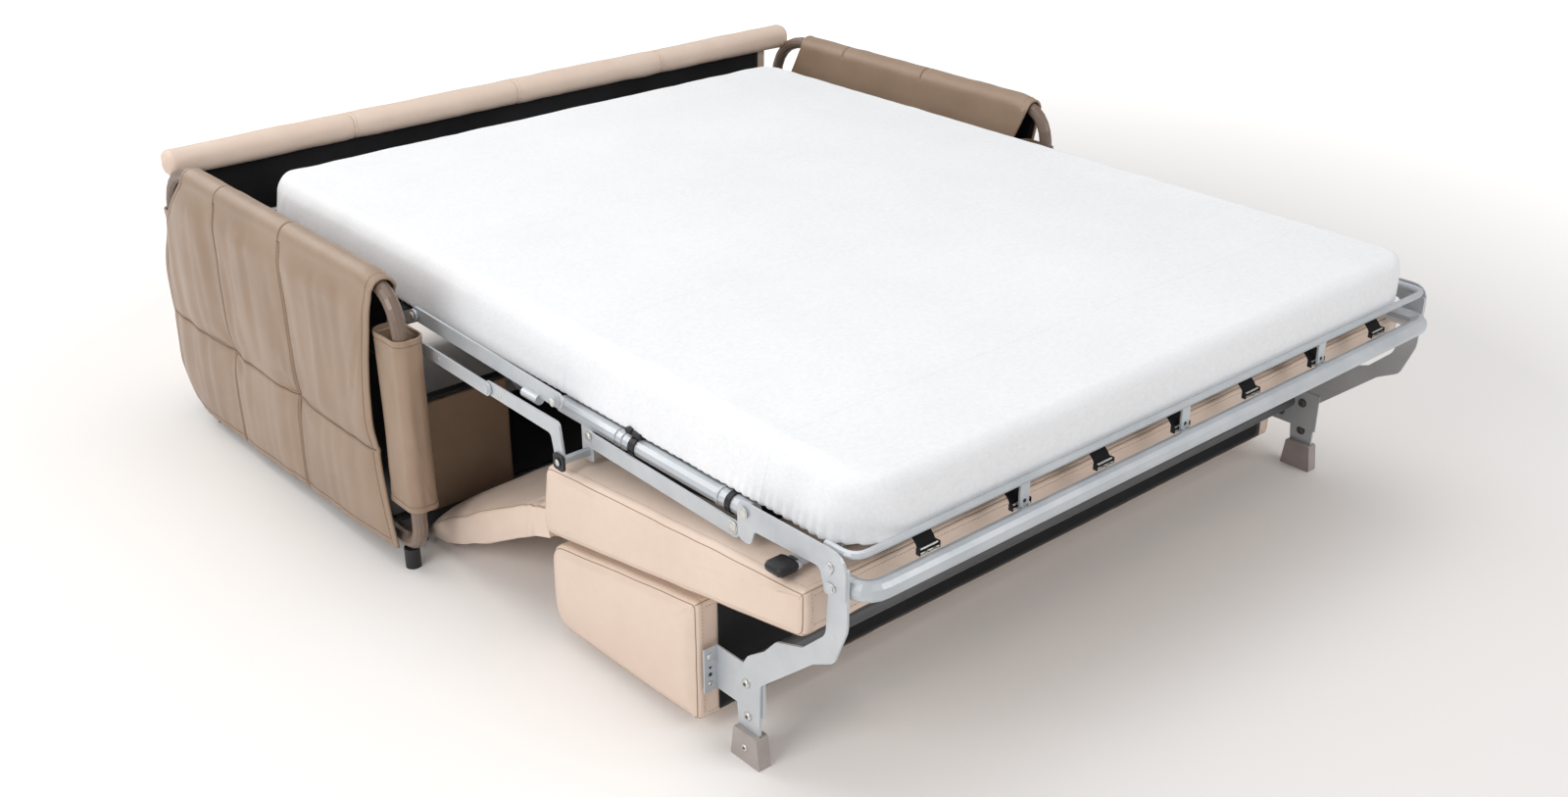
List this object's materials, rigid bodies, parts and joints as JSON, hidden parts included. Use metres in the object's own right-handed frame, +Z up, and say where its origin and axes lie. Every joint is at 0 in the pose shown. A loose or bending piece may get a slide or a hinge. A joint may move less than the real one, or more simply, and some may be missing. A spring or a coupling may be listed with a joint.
{
  "type": "sleeper sofa with pull out bed",
  "caption": "Two-arm sofa with slung quilted leather arms and a roll-top back, whose seat and backrest fold out on steel links into a flat double bed on legs.",
  "frame": {"origin": "on the floor under the middle of the outline, bed open", "axes": "+Z up, the sofa faces -Y and the bed opens towards -Y, +X runs along the sofa to its left arm as seen by someone sitting on it"},
  "size_m": [1.893, 2.1906, 0.648],
  "materials": {
    "arm_paint": "satin brown paint",
    "taupe_leather": "soft leather with a fine grain and stitched seams",
    "beige_leather": "soft leather with a fine grain and stitched seams",
    "grey_steel": "satin light grey paint",
    "black_plastic": "matte",
    "black_cloth": "plain weave",
    "foot_plastic": "matte",
    "sheet_cloth": "plain white weave"
  },
  "bodies": {
    "base": {"arm_tube_left": "arm_paint", "arm_tube_right": "arm_paint", "arm_cover_left": "taupe_leather", "arm_cover_right": "taupe_leather", "front_sleeve_left": "taupe_leather", "front_sleeve_right": "taupe_leather", "rear_sleeve_left": "taupe_leather", "rear_sleeve_right": "taupe_leather", "front_foot_left": "black_plastic", "front_foot_right": "black_plastic", "rear_foot_left": "black_plastic", "rear_foot_right": "black_plastic", "base_stile_left": "taupe_leather", "base_stile_right": "taupe_leather", "carrier_plate_left": "arm_paint", "carrier_plate_right": "arm_paint", "base_front_rail": "black_cloth", "base_rear_rail": "black_cloth", "back_panel": "beige_leather", "back_lining": "black_cloth"},
    "drop_links": {"lower_bar_left": "grey_steel", "lower_bar_right": "grey_steel"},
    "seat_cranks": {"seat_crank_left": "grey_steel", "seat_crank_right": "grey_steel", "link_boot_left": "black_plastic", "link_boot_right": "black_plastic"},
    "seat_section": {"middle_rail_left": "grey_steel", "middle_rail_right": "grey_steel", "seat_cushion": "beige_leather", "seat_board": "black_cloth", "end_bar": "grey_steel", "middle_net": "black_cloth", "mattress_middle": "sheet_cloth"},
    "long_links": {"long_link_left": "grey_steel", "long_link_right": "grey_steel"},
    "foot_section": {"foot_plate_left": "grey_steel", "foot_plate_right": "grey_steel", "leg_plate_left": "grey_steel", "leg_plate_right": "grey_steel", "leg_foot_left": "foot_plastic", "leg_foot_right": "foot_plastic", "leg_bracket_left": "grey_steel", "leg_bracket_right": "grey_steel", "backrest_block": "beige_leather", "foot_rail": "grey_steel", "retainer_bar": "grey_steel", "foot_net": "black_cloth", "cross_tube": "grey_steel", "mattress_foot": "sheet_cloth"},
    "head_section": {"head_rail_left": "grey_steel", "head_rail_right": "grey_steel", "head_end_tube": "grey_steel", "head_front_tube": "grey_steel", "head_net_front": "black_cloth", "head_net_rear": "black_cloth", "mattress_head": "sheet_cloth", "mattress_fold": "sheet_cloth"},
    "bridge_bars": {"bridge_bar_left": "grey_steel", "bridge_bar_right": "grey_steel"},
    "apron_flap": {"apron": "beige_leather"}
  },
  "joints": [
    {"name": "seat_fold", "type": "hinge", "parent": "drop_links", "child": "seat_cranks", "pos_m": [0, -0.14075, 0.455], "axis": [-1, 0, 0], "range_deg": [0, 182.27]},
    {"name": "seat_turn", "type": "hinge", "parent": "seat_cranks", "child": "seat_section", "pos_m": [0, -0.36575, 0.393], "axis": [-1, 0, 0], "range_deg": [-1, 94], "deforming": ["mattress_middle", "mattress_fold"]},
    {"name": "links_drop", "type": "hinge", "parent": "base", "child": "drop_links", "pos_m": [0, 0.15425, 0.462], "axis": [1, 0, 0], "range_deg": [-1, 97]},
    {"name": "foot_fold", "type": "hinge", "parent": "seat_section", "child": "foot_section", "pos_m": [0, -0.82875, 0.477], "axis": [-1, 0, 0], "range_deg": [-1, 91], "deforming": ["mattress_foot"]},
    {"name": "head_lower", "type": "slide", "parent": "base", "child": "head_section", "axis": [0, 0, -1], "range_m": [-0.002, 0.39], "deforming": ["mattress_head"]},
    {"name": "bridge_swing", "type": "hinge", "parent": "head_section", "child": "bridge_bars", "pos_m": [0, 0.14425, 0.505], "axis": [-1, 0, 0], "range_deg": [-1, 181]},
    {"name": "link_travel", "type": "slide", "parent": "seat_section", "child": "long_links", "axis": [0, -1, 0], "range_m": [-0.001, 0.079]},
    {"name": "apron_lift", "type": "hinge", "parent": "base", "child": "apron_flap", "pos_m": [0, 0.01825, 0.084], "axis": [-1, 0, 0], "range_deg": [-1, 72], "deforming": ["apron"]}
  ],
  "couplings": [
    {"joint": "links_drop", "follows": "seat_fold", "ratio": 0.52539},
    {"joint": "seat_turn", "follows": "seat_fold", "ratio": 0.51293},
    {"joint": "foot_fold", "follows": "seat_fold", "ratio": 0.49377},
    {"joint": "head_lower", "follows": "seat_fold", "m_per_rad": 0.12197},
    {"joint": "bridge_swing", "follows": "seat_fold", "ratio": 0.98754},
    {"joint": "link_travel", "follows": "seat_fold", "m_per_rad": 0.0242},
    {"joint": "apron_lift", "follows": "seat_fold", "ratio": 0.38404}
  ]
}
